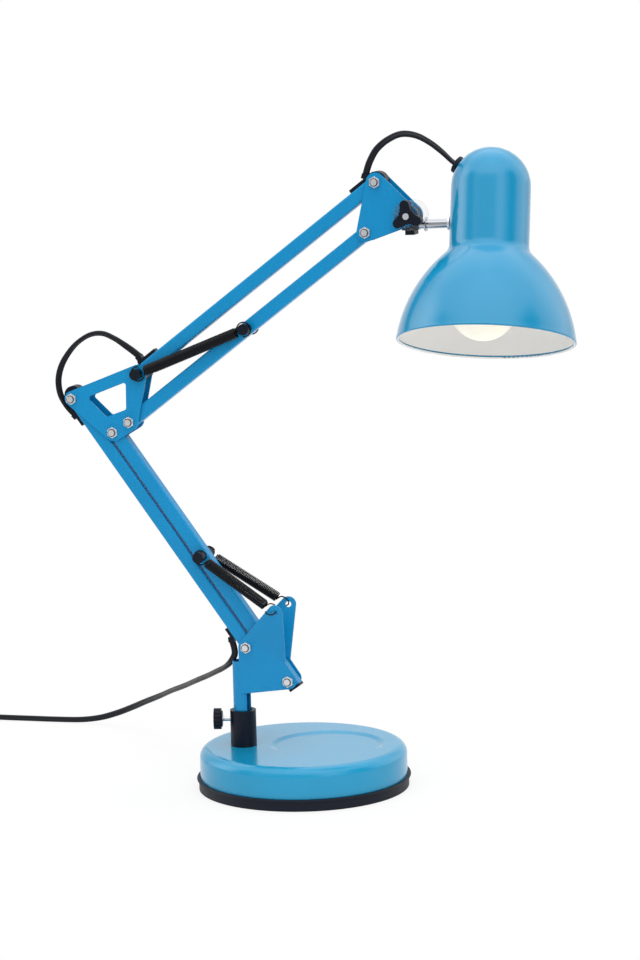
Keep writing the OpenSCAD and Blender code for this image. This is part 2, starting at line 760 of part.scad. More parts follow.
module cord_guide(nozzle_x, nozzle_turn, eye) {
    tongue_x = nozzle_x - nozzle_back;
    tongue_z = bar_w / 2 + seat;
    difference() {
        union() {
            guide_eye(eye);
            bar_block(0, tube_start) rounded_square(bar_w, bar_round);
            bar_block(tube_start - 1, guide_depth) rounded_square(bar_in - 2 * seat, bar_round - bar_t);
            translate([tube_start - 1, -cord_slot_w / 2, 0])
                cube([tongue_end - tube_start - 2, cord_slot_w, bar_w / 2 - seat]);
            translate([tongue_x + seat, -cord_slot_w / 2 + seat, 0])
                cube([tongue_end - tongue_x - nozzle_back, cord_slot_w - 2 * seat, tongue_z + 1]);
            translate([tongue_x, -tongue_w / 2, tongue_z]) cube([tongue_end - tongue_x, tongue_w, tongue_h]);
            translate([nozzle_x, 0, nozzle_z]) rotate([0, nozzle_turn, 0])
                translate([-nozzle_len, -nozzle_w / 2, -nozzle_half])
                cube([nozzle_len, nozzle_w, 2 * nozzle_half]);
        }
        cross_pin([0, 0], hole_r, -bar_w, bar_w);
    }
}

module cord_guides(length, near_x, near_turn, far_x, far_turn, far_eye) {
    cord_guide(near_x, near_turn, root_eye);
    translate([length, 0, 0]) mirror([1, 0, 0]) cord_guide(far_x, far_turn, far_eye);
}

module cord_run(length) {
    translate([guide_depth, -cord_t / 2, -cord_w / 2]) cube([length - 2 * guide_depth, cord_t, cord_w]);
}

module lower_front_bar() {
    color(paint) bar_frame(front_foot, lower_angle) cord_bar(lower_len);
}

module lower_cord_guides() {
    color(black) bar_frame(front_foot, lower_angle)
        cord_guides(lower_len, lower_nozzle_x, foot_nozzle_turn, lower_nozzle_x, elbow_nozzle_turn,
            elbow_eye);
}

module lower_cord_run() {
    color(black) bar_frame(front_foot, lower_angle) cord_run(lower_len);
}

module lower_rear_bar() {
    color(paint) bar_frame(rear_foot, lower_angle) plain_bar(lower_len, bar_past_low);
}

module lower_end_plugs() {
    color(black) bar_frame(rear_foot, lower_angle) end_plugs(lower_len, bar_past_low);
}

module upper_top_bar() {
    color(paint) bar_frame(top_root, upper_angle) cord_bar(upper_len);
}

module upper_cord_guides() {
    color(black) bar_frame(top_root, upper_angle)
        cord_guides(upper_len, upper_nozzle_x, 90, upper_nozzle_x, head_nozzle_turn, head_eye);
}

module upper_cord_run() {
    color(black) bar_frame(top_root, upper_angle) cord_run(upper_len);
}

module upper_bottom_bar() {
    color(paint) bar_frame(bottom_root, upper_angle) plain_bar(upper_len, 0);
}

module upper_end_plugs() {
    color(black) bar_frame(bottom_root, upper_angle) end_plugs(upper_len, 0);
}

// Spring pins, and the black caps whose spools carry the spring rings

module spring_pin(p) {
    end = cap_seat + cap_t / 2;
    color(zinc) arm_frame() cross_pin(p, pin_r, -end, end);
}

module pin_caps(p, spool_from) {
    color(black) arm_frame() for (side = [-1, 1]) scale([1, side, 1]) difference() {
        union() {
            cross_pin(p, spool_r, spool_from, cap_seat);
            cross_pin(p, cap_r, cap_seat, cap_seat + cap_t);
        }
        cross_pin(p, pin_r + fit, 0, cap_seat + cap_t / 2);
    }
}

module lower_spring_pin() { spring_pin(lower_pin); }
module lower_pin_caps() { pin_caps(lower_pin, bar_w / 2); }
module elbow_spring_pin() { spring_pin(top_root); }
module elbow_pin_caps() { pin_caps(top_root, plate_out); }
module upper_spring_pin() { spring_pin(upper_pin); }
module upper_pin_caps() { pin_caps(upper_pin, bar_w / 2); }

module spring(wire) {
    color(black) arm_frame() tube(wire, [0, 0.3, 1], wire_d, wire_d, 6);
}

module lower_near_spring() { spring(lower_wire(-1)); }
module lower_far_spring() { spring(lower_wire(1)); }
module upper_near_spring() { spring(upper_wire(-1)); }
module upper_far_spring() { spring(upper_wire(1)); }

// Elbow

window_rear = [16.5, 0.5];
window_low = [-4.8, 14.6];
window_front = [-4.4, 11.5];
window_top = [-12.6, -9.6];
window_lobes = [lobe(front_top + window_rear, window_r), lobe(rear_top + window_low, window_r),
    lobe(bottom_root + window_front, window_r), lobe(top_root + window_top, window_r)];

module elbow_plate(side) {
    color(paint) arm_frame() difference() {
        slab(side * plate_mid, sheet_t) difference() {
            lobed([lobe(front_top, elbow_rear_r), lobe(rear_top, elbow_r), lobe(bottom_root, elbow_r),
                lobe(top_root, elbow_r)]);
            lobed(window_lobes);
        }
        for (p = [front_top, rear_top, bottom_root]) cross_pin(p, hole_r, -post_d, post_d);
        cross_pin(top_root, pin_r + fit, -post_d, post_d);
    }
}

module elbow_near_plate() { elbow_plate(-1); }
module elbow_far_plate() { elbow_plate(1); }

module elbow_bolts() {
    color(zinc) arm_frame() for (p = [front_top, rear_top, bottom_root]) bolt(p);
}

module elbow_nuts() {
    color(zinc) arm_frame() for (p = [front_top, rear_top, bottom_root]) nut(p);
}

module elbow_cord() {
    color(black) arm_frame() tube(spline(elbow_route, 1), [0, 1, 0], cord_t, cord_w, 8);
}

// Head

module head_plate(side) {
    color(paint) arm_frame() difference() {
        slab(side * plate_mid, sheet_t)
            lobed([lobe(top_tip, head_r), lobe(bottom_tip, head_r), lobe(tilt, head_tip_r)]);
        for (p = [top_tip, bottom_tip, tilt]) cross_pin(p, hole_r, -post_d, post_d);
    }
}

module head_near_plate() { head_plate(-1); }
module head_far_plate() { head_plate(1); }

module head_bolts() {
    color(zinc) arm_frame() for (p = [top_tip, bottom_tip]) bolt(p);
}

module head_nuts() {
    color(zinc) arm_frame() for (p = [top_tip, bottom_tip]) nut(p);
}

module head_washers() {
    color(clear) arm_frame() difference() {
        for (side = [-1, 1]) scale([1, side, 1]) cross_pin(tilt, washer_r, plate_out, plate_out + washer_t);
        cross_pin(tilt, hole_r, -post_d, post_d);
    }
}

module head_cord() {
    color(black) arm_frame() tube(spline(head_route, 1), [0, 1, 0], cord_t, cord_w, 8);
}

knob_seat = plate_out + washer_t + seat;

module wing_bolt() {
    color(zinc) arm_frame() {
        cross_pin(tilt, bolt_r, -knob_seat - wing_t - bolt_end, knob_seat + bolt_head_h / 2);
        hexagon(tilt, knob_seat, knob_seat + bolt_head_h);
    }
}

module wing_knob() {
    hub_r = 5.2;
    first_wing = 98;
    color(black) arm_frame() difference() {
        slab(-knob_seat - wing_t / 2, wing_t) for (a = [first_wing, first_wing + 120, first_wing + 240])
            lobed([lobe(tilt - polar(1, a), hub_r), lobe(tilt + polar(wing_len - wing_half, a), wing_half)]);
        cross_pin(tilt, hole_r, -2 * post_d, 0);
    }
}

// Frame of the swivel block on the tilt bolt, raised by the lean of the head
module tilt_frame() {
    arm_frame() translate([tilt.x, 0, tilt.y]) rotate([0, -head_lean, 0]) children();
}

module stub_rod(r, x0, x1) {
    translate([x0, 0, -stub_drop]) rotate([0, 90, 0]) cylinder(r = r, h = x1 - x0);
}

stub_back = -5;
stub_flange_x = 11;
stub_flange_t = 1.2;
stub_flange_r = stub_d / 2 + 2;
shade_nut_t = 1.8;
stub_shoulder = stub_reach - neck_r - shade_nut_t - 2 * pass;

module swivel_block() {
    block_w = 2 * (plate_in - seat);
    top_r = 6.8;
    foot_t = 3.6;
    color(black) tilt_frame() difference() {
        slab(0, block_w) {
            circle(top_r);
            translate([-block_half, -block_drop + foot_t]) square([2 * block_half, block_drop - foot_t]);
            translate([-block_foot_half, -block_drop]) square([2 * block_foot_half, block_drop]);
        }
        cross_pin([0, 0], hole_r, -post_d, post_d);
        stub_rod(stub_d / 2 + fit, stub_back - seat, post_d);
    }
}

// Shade frame: the origin is where the stub axis meets the shade axis, and +Z is up the dome
module shade_frame() {
    tilt_frame() translate([stub_reach, 0, -stub_drop]) rotate([-shade_roll, 0, 0]) children();
}

// Section of the shade: dome, neck, flare and bell, each an arc moved inwards by the same distance
bell_centre = [rim_r, -rim_drop] - bell_r * [cos(rim_slope), sin(rim_slope)];
flare_centre = [neck_r + flare_r,
    bell_centre.y + sqrt(pow(bell_r + flare_r, 2) - pow(neck_r + flare_r - bell_centre.x, 2))];
flare_turn = atan2(flare_centre.y - bell_centre.y, flare_centre.x - bell_centre.x);

function arc(centre, r, a0, a1, steps) =
    [for (i = [0 : steps]) centre + polar(r, a0 + (a1 - a0) * i / steps)];

function shade_curve(in) = concat(
    arc([0, neck_up], neck_r - in, 90, 0, 9),
    arc(flare_centre, flare_r + in, 180, 180 + flare_turn, 4),
    arc(bell_centre, bell_r - in, flare_turn, rim_slope, 10));

function reversed(list) = [for (i = [len(list) - 1 : -1 : 0]) list[i]];

stub_hole_r = stub_thread_d / 2 + fit;

module shade() {
    color(paint) shade_frame() difference() {
        union() {
            rotate_extrude() polygon(concat(shade_curve(0), reversed(shade_curve(shade_t))));
            translate([0, 0, -rim_drop]) rotate_extrude() translate([rim_r - rim_bead, 0])
                circle(rim_bead, $fn = 32);
        }
        rotate([0, -90, 0]) cylinder(r = stub_hole_r, h = 2 * neck_r);
        grommet_axis() cylinder(r = grommet_neck_r + seat, h = neck_r, center = true);
    }
}

// Frame on the grommet axis, with its origin on the outside of the dome
module grommet_axis() {
    translate([0, 0, neck_up]) rotate([0, grommet_angle - 90, 0]) translate([0, 0, neck_r]) children();
}

grommet_neck_r = 4.4;
grommet_t = 3;
grommet_in = 3;

module cord_grommet() {
    color(black) shade_frame() grommet_axis() {
        difference() {
            translate([0, 0, -neck_r / 2]) cylinder(r = grommet_neck_r, h = neck_r / 2 + grommet_t);
            translate([0, 0, -neck_r]) sphere(neck_r - shade_t - grommet_in);
        }
        difference() {
            cylinder(r = grommet_r, h = grommet_t);
            translate([0, 0, -neck_r]) sphere(neck_r + seat);
        }
    }
}

module stub() {
    thread_end = stub_reach - strap_x + strap_t + shade_nut_h + bolt_end;
    color(zinc) tilt_frame() {
        stub_rod(stub_d / 2, stub_back, stub_shoulder);
        stub_rod(stub_flange_r, stub_flange_x, stub_flange_x + stub_flange_t);
        stub_rod(stub_thread_d / 2, stub_shoulder - 1, thread_end);
    }
}

strap_t = 1.2;
strap_x = neck_r - shade_t - 1.6;
strap_top = 28;
shade_nut_h = 3.6;

module stub_nuts() {
    inner = -strap_x + strap_t;
    color(zinc) shade_frame() difference() {
        union() {
            translate([-neck_r - shade_nut_t - pass, 0, 0]) rotate([0, 90, 0])
                cylinder(r = stub_flange_r, h = shade_nut_t);
            translate([inner, 0, 0]) rotate([0, 90, 0])
                cylinder(r = nut_af / 2 / cos(30), h = shade_nut_h, $fn = 6);
        }
        rotate([0, -90, 0]) cylinder(r = stub_hole_r, h = 2 * neck_r);
    }
}

holder_top = strap_top - strap_t;
holder_len = 44;
holder_nipple_r = 5;
holder_shoulder = 8;
cap_top = 6;
cap_tip_h = 5;
cap_tip_r = 5;
screw_r = 13.2;
cap_base = -22;

// Frame of the lamp holder, moved from the shade axis towards the stub
module holder_frame() {
    shade_frame() translate([-holder_off, 0, 0]) children();
}

module holder_bracket() {
    half = 6;
    color(zinc) shade_frame() difference() {
        union() {
            translate([-strap_x, -half, -half]) cube([strap_t, 2 * half, strap_top + half]);
            translate([-strap_x, -half, holder_top]) cube([strap_x + holder_shoulder, 2 * half, strap_t]);
        }
        rotate([0, -90, 0]) cylinder(r = stub_hole_r, h = 2 * neck_r);
        translate([-holder_off, 0, 0]) cylinder(r = holder_nipple_r + fit, h = 2 * neck_r);
    }
}

module lamp_holder() {
    color(black) holder_frame() difference() {
        union() {
            translate([0, 0, holder_top - holder_len])
                cylinder(r = holder_r, h = holder_len - holder_shoulder);
            translate([0, 0, holder_top - holder_shoulder])
                cylinder(r1 = holder_r, r2 = holder_r - holder_shoulder / 2, h = holder_shoulder);
            translate([0, 0, holder_top - 1]) cylinder(r = holder_nipple_r, h = 6 * strap_t);
        }
        translate([0, 0, -holder_len]) cylinder(r = screw_r + seat, h = cap_top + holder_len);
    }
}

module bulb_cap() {
    color(zinc) holder_frame() {
        translate([0, 0, cap_base]) cylinder(r = screw_r, h = cap_top - cap_tip_h - cap_base);
        translate([0, 0, cap_top - cap_tip_h - seat])
            cylinder(r1 = screw_r - 1, r2 = cap_tip_r, h = cap_tip_h - seat);
    }
}

// Bulb: a round end, a waist that follows it inwards, and a straight stem in the cap
bulb_centre = bulb_r - bulb_drop;
bulb_turn = 50;

bulb_waist_r = 12;
bulb_glass = 1;
waist_high = bulb_centre + (bulb_r + bulb_waist_r) * sin(bulb_turn);
waist_out = (bulb_r + bulb_waist_r) * cos(bulb_turn);

function bulb_curve(in) = concat(
    arc([0, bulb_centre], bulb_r - in, -90, bulb_turn, 12),
    arc([waist_out, waist_high], bulb_waist_r + in, 180 + bulb_turn, 180, 4),
    [[waist_out - bulb_waist_r - in, cap_base]]);

module bulb() {
    color(white) holder_frame() rotate_extrude()
        polygon(concat(bulb_curve(0), reversed(bulb_curve(bulb_glass))));
}

// Mains lead, its stored coil, the tie and the plug

module mains_cord() {
    color(black) tube(spline(mains_route, 2), [0, 1, 0], cord_t, cord_w, 8);
}

module mains_coil() {
    color(black) tube(coil_path, [0, 1, 0], cord_t, cord_w, 6);
}

module coil_tie() {
    room = 0.7;
    thick = 0.8;
    band = 7;
    lift = 0.1;
    inside = coil_r - coil_pitch * (coil_turns + 1) / 2 - cord_t / 2 - room;
    outside = coil_r + cord_t / 2 + room;
    top = coil_start.z + coil_rise + cord_w / 2 + room / 2;
    color([0.2, 0.2, 0.2]) translate([coil_centre.x, coil_centre.y, 0]) rotate([0, 0, 180]) difference() {
        translate([inside - thick, -band / 2, lift])
            cube([outside - inside + 2 * thick, band, top + thick - lift]);
        translate([inside, -band, lift + thick]) cube([outside - inside, 2 * band, top - thick - lift]);
    }
}

module mains_plug() {
    end = coil_path[len(coil_path) - 1];
    relief = 16;
    relief_r = 3.4;
    body = 34;
    body_t = 17.4;
    body_w = 26;
    body_r = 9;
    prong_gap = 19;
    prong_d = 4;
    prong_len = 19;
    color(black) translate(end - [pass, 0, 0]) rotate([0, -90, 0]) {
        cylinder(r1 = relief_r, r2 = 1.5 * relief_r, h = relief);
        translate([0, 0, relief - 1]) intersection() {
            translate([-body_t / 2, -body_w / 2, 0]) cube([body_t, body_w, body]);
            cylinder(r1 = body_r, r2 = 1.7 * body_r, h = body);
        }
        for (y = [-prong_gap / 2, prong_gap / 2]) translate([0, y, relief + body - prong_d])
            cylinder(d = prong_d, h = prong_len + prong_d);
    }
}

base_shell();
base_weight();
rubber_foot();
collar();
collar_screw();
thumb_stud();
thumb_knob();
bracket();
bracket_bolts();
bracket_nuts();
lower_front_bar();
lower_cord_guides();
lower_cord_run();
lower_rear_bar();
lower_end_plugs();
lower_spring_pin();
lower_pin_caps();
lower_near_spring();
lower_far_spring();
elbow_near_plate();
elbow_far_plate();
elbow_bolts();
elbow_nuts();
elbow_spring_pin();
elbow_pin_caps();
elbow_cord();
upper_near_spring();
upper_far_spring();
upper_top_bar();
upper_cord_guides();
upper_cord_run();
upper_bottom_bar();
upper_end_plugs();
upper_spring_pin();
upper_pin_caps();
head_near_plate();
head_far_plate();
head_bolts();
head_nuts();
head_washers();
head_cord();
wing_knob();
wing_bolt();
swivel_block();
shade();
stub();
stub_nuts();
cord_grommet();
holder_bracket();
lamp_holder();
bulb_cap();
bulb();
mains_cord();
mains_coil();
coil_tie();
mains_plug();
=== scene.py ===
import json
import math

import bpy
from mathutils import Matrix, Vector


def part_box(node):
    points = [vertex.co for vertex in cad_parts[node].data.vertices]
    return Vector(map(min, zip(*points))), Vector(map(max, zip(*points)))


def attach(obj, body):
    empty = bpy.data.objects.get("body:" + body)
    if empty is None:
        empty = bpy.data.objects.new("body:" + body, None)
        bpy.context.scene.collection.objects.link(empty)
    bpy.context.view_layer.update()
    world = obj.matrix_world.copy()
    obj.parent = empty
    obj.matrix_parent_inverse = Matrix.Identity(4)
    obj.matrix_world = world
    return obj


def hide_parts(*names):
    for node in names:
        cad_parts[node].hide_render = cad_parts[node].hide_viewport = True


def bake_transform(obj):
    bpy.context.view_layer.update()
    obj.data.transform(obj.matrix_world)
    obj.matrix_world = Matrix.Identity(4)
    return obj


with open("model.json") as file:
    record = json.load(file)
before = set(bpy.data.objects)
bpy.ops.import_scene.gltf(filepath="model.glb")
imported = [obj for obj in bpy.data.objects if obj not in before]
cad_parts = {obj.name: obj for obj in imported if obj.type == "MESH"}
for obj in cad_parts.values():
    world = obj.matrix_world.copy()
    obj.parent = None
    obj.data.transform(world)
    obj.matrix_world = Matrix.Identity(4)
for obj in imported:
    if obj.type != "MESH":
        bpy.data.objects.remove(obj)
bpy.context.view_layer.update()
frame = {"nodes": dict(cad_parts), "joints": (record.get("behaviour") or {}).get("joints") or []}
nodes = frame["nodes"]

# Lengths below are in millimetres, and MM turns them into the scene's metres
MM = 0.001


# Places that the frame gives

def pivot(joint):
    """Where a joint turns."""
    return Vector(next(j["pos_m"] for j in frame["joints"] if j["name"] == joint)) / MM


def middle(node):
    """Middle of a CAD node's box."""
    low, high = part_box(node)
    return (low + high) / 2 / MM


POST = pivot("post_swivel").xy.to_3d()
FRONT_FOOT = pivot("lower_arm")
REAR_FOOT = pivot("lower_rear_follow")
FRONT_TOP = pivot("elbow_level")
REAR_TOP = REAR_FOOT + FRONT_TOP - FRONT_FOOT
TOP_ROOT = pivot("upper_arm")
BOTTOM_ROOT = pivot("upper_bottom_follow")
TOP_TIP = pivot("head_level")
BOTTOM_TIP = BOTTOM_ROOT + TOP_TIP - TOP_ROOT
LOWER_PIN = middle("lower_spring_pin")
ELBOW_PIN = middle("elbow_spring_pin")
UPPER_PIN = middle("upper_spring_pin")
NUT_FACE_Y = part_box("elbow_nuts")[0].y / MM
PLUG_TIP_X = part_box("mains_plug")[0].x / MM


# Camera: the photograph's place, turn and lens, from the solved view
CAMERA_PLACE = (730.9, -2390.8, 637.6)
CAMERA_YAW = math.radians(-16.573)
CAMERA_PITCH = math.radians(-8.813)
CAMERA_ROLL = math.radians(1.371)
CAMERA_LENS = 118.65
CAMERA_SENSOR = 36
CAMERA_NEAREST = 100
CAMERA_FARTHEST = 60000
AWAY = Vector((math.sin(CAMERA_YAW), math.cos(CAMERA_YAW), 0))
RIGHT = Vector((math.cos(CAMERA_YAW), -math.sin(CAMERA_YAW), 0))
UP = Vector((0, 0, 1))


def make_camera():
    ahead = math.cos(CAMERA_PITCH) * AWAY + math.sin(CAMERA_PITCH) * UP
    above = RIGHT.cross(ahead)
    right = math.cos(CAMERA_ROLL) * RIGHT - math.sin(CAMERA_ROLL) * above
    up = math.sin(CAMERA_ROLL) * RIGHT + math.cos(CAMERA_ROLL) * above
    data = bpy.data.cameras.new("camera")
    data.lens = CAMERA_LENS
    data.sensor_width = CAMERA_SENSOR
    data.clip_start = CAMERA_NEAREST * MM
    data.clip_end = CAMERA_FARTHEST * MM
    camera = bpy.data.objects.new("camera", data)
    bpy.context.scene.collection.objects.link(camera)
    turn = Matrix((right, up, -ahead)).transposed().to_4x4()
    camera.matrix_world = Matrix.Translation(Vector(CAMERA_PLACE) * MM) @ turn
    bpy.context.scene.camera = camera


make_camera()


# Node helpers

def linear(red, green, blue):
    """Linear colour of an 8-bit screen colour."""
    def one(value):
        value /= 255
        return value / 12.92 if value <= 0.04045 else ((value + 0.055) / 1.055) ** 2.4
    return (one(red), one(green), one(blue), 1.0)


def scaled(colour, gain):
    return tuple(min(1, c * gain) for c in colour[:3]) + (1.0,)


def add(tree, kind, inputs=None, **settings):
    """A new node with its settings made and its inputs set or linked."""
    made = tree.nodes.new(kind)
    for key, value in settings.items():
        setattr(made, key, value)
    for key, value in (inputs or {}).items():
        if isinstance(value, bpy.types.NodeSocket):
            tree.links.new(value, made.inputs[key])
        else:
            made.inputs[key].default_value = value
    return made


def maths(tree, operation, first, second=0.5, clamped=False):
    made = add(tree, "ShaderNodeMath", {0: first, 1: second}, operation=operation, use_clamp=clamped)
    return made.outputs["Value"]


def vector_maths(tree, operation, first, second=(0, 0, 0), result="Vector"):
    made = add(tree, "ShaderNodeVectorMath", {0: first, 1: second}, operation=operation)
    return made.outputs[result]


def noise(tree, place, scale, detail=2.0):
    return add(tree, "ShaderNodeTexNoise", {"Vector": place, "Scale": scale, "Detail": detail}).outputs["Fac"]


def spread(tree, value, low, high, first=0.3, last=0.7, curve="LINEAR"):
    """A value that goes from first to last, spread from low to high."""
    inputs = {"Value": value, "From Min": first, "From Max": last, "To Min": low, "To Max": high}
    return add(tree, "ShaderNodeMapRange", inputs, interpolation_type=curve).outputs["Result"]


def blended(tree, share, first, second):
    mix = add(tree, "ShaderNodeMix", data_type="RGBA")
    for socket, value in (("Factor_Float", share), ("A_Color", first), ("B_Color", second)):
        found = next(s for s in mix.inputs if s.identifier == socket)
        if isinstance(value, bpy.types.NodeSocket):
            tree.links.new(value, found)
        else:
            found.default_value = value
    return next(s for s in mix.outputs if s.identifier == "Result_Color")


# Surfaces
BUMP_HEIGHT = 0.5
DRIFT_DETAIL = 3


def new_material(name):
    material = bpy.data.materials.new(name)
    material.use_nodes = True
    tree = material.node_tree
    place = add(tree, "ShaderNodeTexCoord").outputs["Object"]
    return material, tree, tree.nodes["Principled BSDF"], place


def drifting(tree, place, scale, colour, darker, lighter):
    """A colour that drifts between a darker and a lighter tone of itself."""
    drift = spread(tree, noise(tree, place, scale, DRIFT_DETAIL), 0, 1)
    return blended(tree, drift, scaled(colour, darker), scaled(colour, lighter))


def grain_over_edges(tree, bsdf, place, grain, depth, edge, samples=6):
    """Fine grain, on edges that are shaded as if rounded to the radius edge."""
    inputs = {"Strength": depth, "Distance": BUMP_HEIGHT * MM, "Height": noise(tree, place, grain)}
    if edge:
        bevel = add(tree, "ShaderNodeBevel", {"Radius": edge * MM}, samples=samples)
        inputs["Normal"] = bevel.outputs["Normal"]
    tree.links.new(add(tree, "ShaderNodeBump", inputs).outputs["Normal"], bsdf.inputs["Normal"])


def surface(name, colour, roughness, grain=700, depth=0.02, edge=0.3, tone=0.04, tone_scale=22,
            rough_change=0.04, **shader):
    """A painted, moulded or plated surface: a colour that drifts a little, fine grain and softened edges."""
    material, tree, bsdf, place = new_material(name)
    tree.links.new(drifting(tree, place, tone_scale, colour, 1 - tone, 1 + tone), bsdf.inputs["Base Color"])
    rough = noise(tree, place, tone_scale * 4, DRIFT_DETAIL)
    rough = spread(tree, rough, roughness - rough_change, roughness + rough_change)
    tree.links.new(rough, bsdf.inputs["Roughness"])
    grain_over_edges(tree, bsdf, place, grain, depth, edge)
    for key, value in shader.items():
        bsdf.inputs[key.replace("_", " ")].default_value = value
    return material


# The shade's paint, placed by the shade's axis, which crosses the stub at this reach from the roll joint
SHADE_LEAN = math.radians(-1.5)
SHADE_ROLL = math.radians(-17.5)
SHADE_REACH = 42.6
SHADE_TURN = Matrix.Rotation(SHADE_LEAN, 3, "Y") @ Matrix.Rotation(SHADE_ROLL, 3, "X")
SHADE_CENTRE = pivot("shade_roll") + SHADE_TURN.col[0] * SHADE_REACH
# The outside blue is made darker than the base's: painted shade that keeps the brightly lit bell from looking
# too light
SHADE_BLUE_WITH_PAINTED_SHADE = linear(11, 140, 185)
INSIDE_WHITE = linear(244, 243, 241)
SHADE_TONE_SCALE = 16
GLOSS_ROUGHNESS = 0.15
ENAMEL_ROUGHNESS = 0.5
# The inside is where a face turns outwards and upwards by less than this, within this radius
INSIDE_FACING = -0.4
INSIDE_RADIUS = 68.2


def inside_of_shade(tree, place):
    """1 on the inside of the shade and 0 on its outside and rim."""
    back = SHADE_TURN.transposed()
    turn = back.to_euler("XYZ")
    there = {"Vector": place, "Location": -(back @ SHADE_CENTRE) * MM, "Rotation": turn}
    there = add(tree, "ShaderNodeMapping", there).outputs["Vector"]
    facing = {"Vector": add(tree, "ShaderNodeTexCoord").outputs["Normal"], "Rotation": turn}
    facing = add(tree, "ShaderNodeMapping", facing, vector_type="VECTOR").outputs["Vector"]
    flat = vector_maths(tree, "MULTIPLY", there, (1, 1, 0))
    radius = vector_maths(tree, "LENGTH", flat, result="Value")
    out = vector_maths(tree, "ADD", vector_maths(tree, "NORMALIZE", flat), (0, 0, 1))
    out = vector_maths(tree, "DOT_PRODUCT", out, facing, result="Value")
    inward = maths(tree, "LESS_THAN", out, INSIDE_FACING)
    return maths(tree, "MULTIPLY", inward, maths(tree, "LESS_THAN", radius, INSIDE_RADIUS * MM))


def shade_paint():
    """Gloss paint outside, made darker as painted shade, and white enamel inside."""
    material, tree, bsdf, place = new_material("shade_paint")
    inside = inside_of_shade(tree, place)
    blue = drifting(tree, place, SHADE_TONE_SCALE, SHADE_BLUE_WITH_PAINTED_SHADE, 0.97, 1.03)
    white = drifting(tree, place, SHADE_TONE_SCALE, INSIDE_WHITE, 0.97, 1.01)
    tree.links.new(blended(tree, inside, blue, white), bsdf.inputs["Base Color"])
    rough = spread(tree, inside, GLOSS_ROUGHNESS, ENAMEL_ROUGHNESS, 0, 1)
    tree.links.new(rough, bsdf.inputs["Roughness"])
    grain_over_edges(tree, bsdf, place, grain=420, depth=0.012, edge=0.3, samples=4)
    bsdf.inputs["Coat Weight"].default_value = 0.1
    bsdf.inputs["Coat Roughness"].default_value = 0.1
    return material


# Black mouldings, and the plug's bare prong tips
PLASTIC_BLACK = linear(6, 15, 30)
PRONG_METAL = linear(214, 214, 210)
BARE_PRONG = 9.5


def moulding(name):
    return surface(name, PLASTIC_BLACK, 0.42, grain=1600, depth=0.04, Specular_IOR_Level=0.22)


def plug_moulding():
    """Black moulding whose prongs are bare metal past their black sleeves."""
    material = moulding("plug_moulding")
    tree = material.node_tree
    bsdf = tree.nodes["Principled BSDF"]
    place = add(tree, "ShaderNodeTexCoord").outputs["Object"]
    along = add(tree, "ShaderNodeSeparateXYZ", {"Vector": place}).outputs["X"]
    bare = maths(tree, "LESS_THAN", along, (PLUG_TIP_X + BARE_PRONG) * MM)
    black = bsdf.inputs["Base Color"].links[0].from_socket
    tree.links.new(blended(tree, bare, black, PRONG_METAL), bsdf.inputs["Base Color"])
    tree.links.new(bare, bsdf.inputs["Metallic"])
    return material


# Clear washers: how much of the light their faces and their rim stop
CLEAR_TINT = linear(206, 212, 216)
CLEAR_FACE = 0.07
CLEAR_RIM = 0.75


def clear_plastic():
    """Clear plastic of a thin washer: faces that hardly show, and a rim that catches the light."""
    material = surface("clear_plastic", CLEAR_TINT, 0.1, grain=900, depth=0.01, edge=0, tone=0.01)
    tree = material.node_tree
    facing = add(tree, "ShaderNodeTexCoord").outputs["Normal"]
    facing = add(tree, "ShaderNodeSeparateXYZ", {"Vector": facing}).outputs["Y"]
    alpha = spread(tree, maths(tree, "ABSOLUTE", facing), CLEAR_RIM, CLEAR_FACE, 0.2, 0.8)
    tree.links.new(alpha, tree.nodes["Principled BSDF"].inputs["Alpha"])
    return material


# Finishes
arm_paint = surface("arm_paint", linear(10, 138, 194), 0.26, grain=300, depth=0.001, edge=0.4, tone=0.03,
                    rough_change=0.0, Specular_IOR_Level=0.25)
# The base's blue is the shade's paint made lighter: painted light that brightens its top, which the lamps
# light less
base_paint_with_painted_light = surface("base_paint_with_painted_light", linear(12, 149, 194), 0.2, grain=420, depth=0.006, tone=0.03,
                     Coat_Weight=0.2, Coat_Roughness=0.12, Specular_IOR_Level=0.4)
shade_finish = shade_paint()
plastic = moulding("black_plastic")
plug_finish = plug_moulding()
rubber = surface("black_rubber", PLASTIC_BLACK, 0.55, grain=1400, depth=0.06, Specular_IOR_Level=0.25)
cord_skin = surface("black_cord", linear(22, 24, 31), 0.4, grain=1100, depth=0.02, edge=0, tone=0.06,
                    Specular_IOR_Level=0.2)
spring_black = surface("spring_black", linear(14, 15, 20), 0.4, grain=2200, depth=0.02, edge=0,
                       Specular_IOR_Level=0.2)
nylon = surface("nut_nylon", linear(40, 44, 50), 0.5, grain=1800, depth=0.03, edge=0.1)
zinc = surface("zinc_plate", linear(226, 228, 231), 0.4, grain=1800, tone=0.03, Metallic=1.0)
chrome = surface("chrome", linear(176, 179, 184), 0.16, grain=2200, depth=0.01, edge=0.2, Metallic=1.0)
iron = surface("cast_iron", linear(92, 93, 95), 0.6, grain=500, depth=0.2, Metallic=0.6)
cap_metal = surface("cap_metal", linear(206, 204, 196), 0.3, grain=900, depth=0.05, Metallic=1.0)
# The bulb's glass has a faint warm emission: a painted glow that makes the bulb brighter than the light
# inside the shade would
glass_with_painted_glow = surface("bulb_glass", linear(250, 246, 230), 0.3, grain=300, depth=0.0, tone=0.01,
                Emission_Color=(1.0, 0.95, 0.84, 1.0), Emission_Strength=0.14)
strap_zinc = surface("strap_zinc", linear(188, 190, 192), 0.35, depth=0.05, Metallic=1.0)
clear = clear_plastic()

